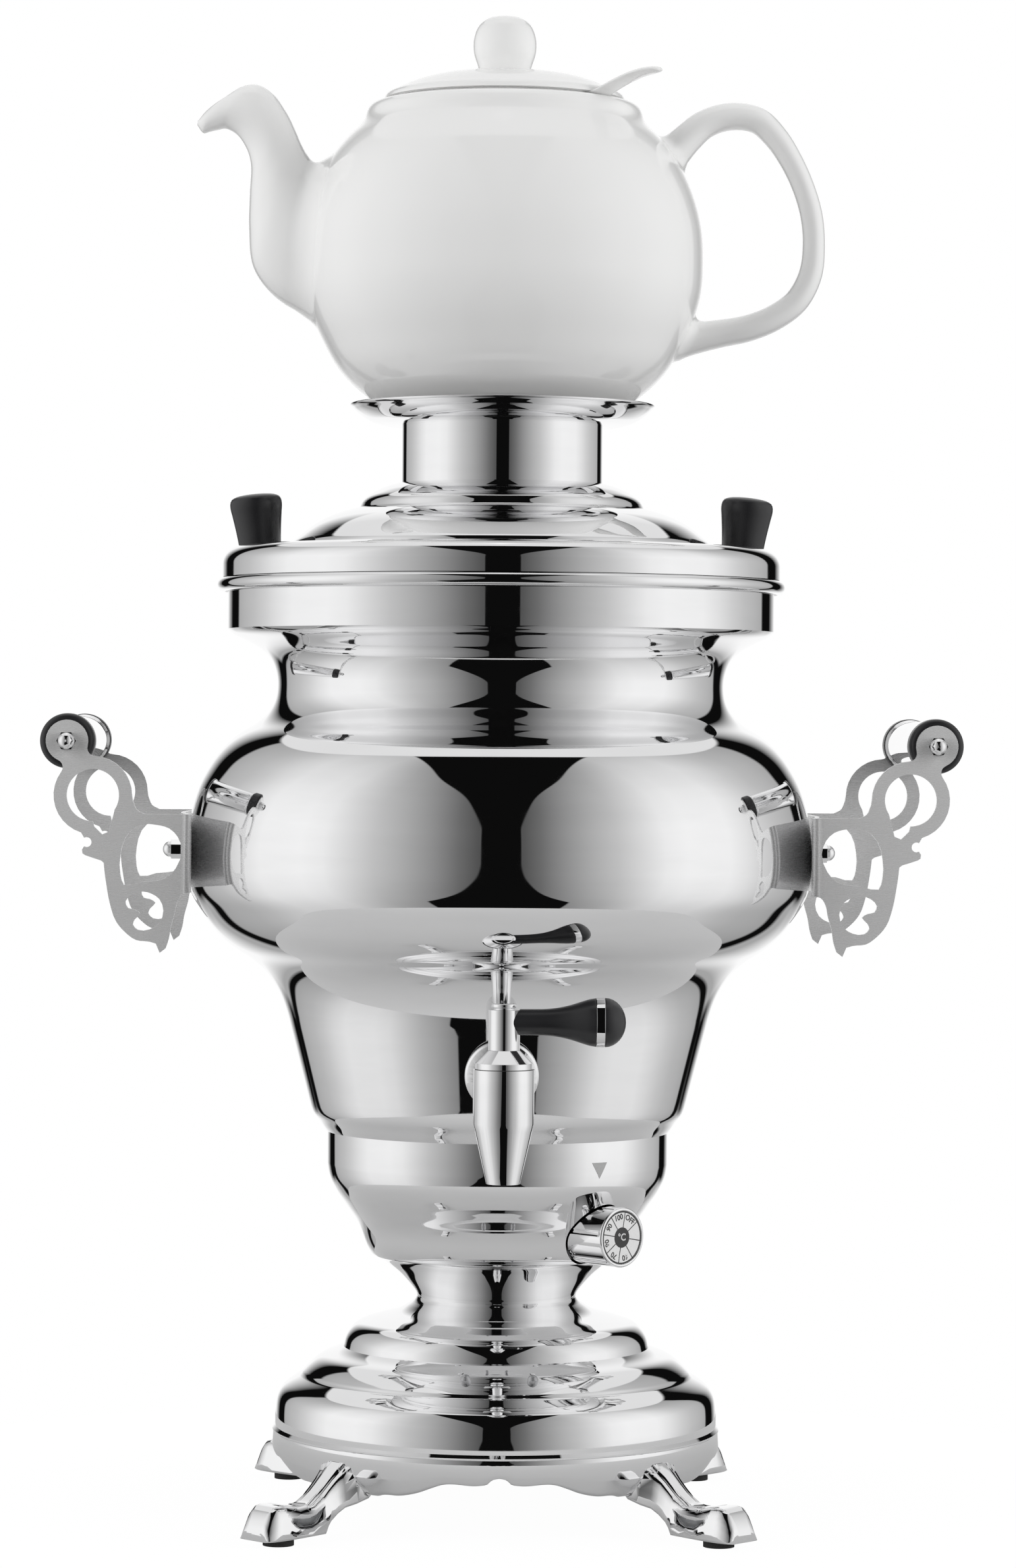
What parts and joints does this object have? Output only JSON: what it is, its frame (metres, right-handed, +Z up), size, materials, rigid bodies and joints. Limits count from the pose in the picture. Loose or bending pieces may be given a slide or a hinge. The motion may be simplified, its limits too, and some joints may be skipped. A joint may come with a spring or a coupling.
{
  "type": "samovar",
  "caption": "Electric samovar: bulbous mirror-chrome water tank on a stepped base with four feet, front plug tap, pierced bracket handles, lift-off lid and a white porcelain teapot on top.",
  "frame": {"origin": "on the floor, on the upright centre line of the tank", "axes": "+Z up, front with the tap faces -Y, +X to the right as seen from the front"},
  "size_m": [0.2978, 0.2121, 0.4952],
  "materials": {
    "chrome": "mirror polished",
    "satin_steel": "satin",
    "plain_steel": "plain zinc plated",
    "brass": "machined",
    "rubber": "matte",
    "ivory_plastic": "moulded heat-proof",
    "black_plastic": "glossy",
    "porcelain": "glazed white porcelain",
    "dial_print": "printed white disc",
    "lamp_lens": "clear tinted lens"
  },
  "bodies": {
    "samovar": {"tank": "chrome", "heater_housing": "chrome", "pedestal": "chrome", "base_skirt": "chrome", "leg_front_right": "chrome", "leg_front_left": "chrome", "leg_rear_right": "chrome", "leg_rear_left": "chrome", "leg_screws": "plain_steel", "foot_pads": "rubber", "bottom_cover": "plain_steel", "cord_grommet": "rubber", "terminal_block": "ivory_plastic", "tie_rod": "plain_steel", "tie_rod_nut": "plain_steel", "heating_element": "plain_steel", "heater_nuts": "brass", "heater_gaskets": "rubber", "thermostat_body": "ivory_plastic", "thermostat_bracket": "plain_steel", "thermal_cutout": "ivory_plastic", "pilot_lamp_right": "lamp_lens", "pilot_lamp_left": "lamp_lens", "tap_body": "chrome", "tap_bonnet": "chrome", "tap_rosette": "chrome", "tap_gaskets": "rubber", "tap_tail_nut": "brass", "bracket_right": "satin_steel", "bracket_left": "satin_steel", "bracket_studs": "plain_steel", "bracket_nuts": "chrome", "grip_barrel_right": "chrome", "grip_barrel_left": "chrome", "grip_caps_right": "black_plastic", "grip_caps_left": "black_plastic", "grip_bolts": "plain_steel", "grip_nuts": "chrome"},
    "tap_key": {"tap_plug": "brass", "tap_cap": "chrome", "tap_lever": "black_plastic", "lever_ring": "chrome", "lever_tip": "black_plastic"},
    "thermostat_dial": {"thermostat_knob": "chrome", "dial_face": "dial_print", "control_spindle": "plain_steel"},
    "lid": {"lid_cover": "chrome", "lid_ring": "chrome", "crown": "chrome", "teapot_stand": "chrome", "lid_knob_right": "black_plastic", "lid_knob_left": "black_plastic", "lid_knob_screws": "plain_steel"},
    "pot": {"teapot": "porcelain"},
    "strainer": {"tea_strainer": "porcelain"},
    "pot_lid": {"teapot_lid": "porcelain"}
  },
  "joints": [
    {"name": "tap_turn", "type": "hinge", "parent": "samovar", "child": "tap_key", "pos_m": [0, -0.099, 0.1683], "axis": [0, 0, 1], "range_deg": [-90, 0]},
    {"name": "thermostat_turn", "type": "hinge", "parent": "samovar", "child": "thermostat_dial", "pos_m": [0.03313, -0.03745, 0.0956], "axis": [0.6626, -0.749, 0], "range_deg": [-180, 45]},
    {"name": "lid_lift", "type": "slide", "parent": "samovar", "child": "lid", "axis": [0, 0, 1], "range_m": [0, 0.06]},
    {"name": "teapot_lift", "type": "slide", "parent": "lid", "child": "pot", "axis": [0, 0, 1], "range_m": [0, 0.05]},
    {"name": "strainer_lift", "type": "slide", "parent": "pot", "child": "strainer", "axis": [0, 0, 1], "range_m": [0, 0.06]},
    {"name": "teapot_lid_lift", "type": "slide", "parent": "strainer", "child": "pot_lid", "axis": [0, 0, 1], "range_m": [0, 0.04]}
  ]
}
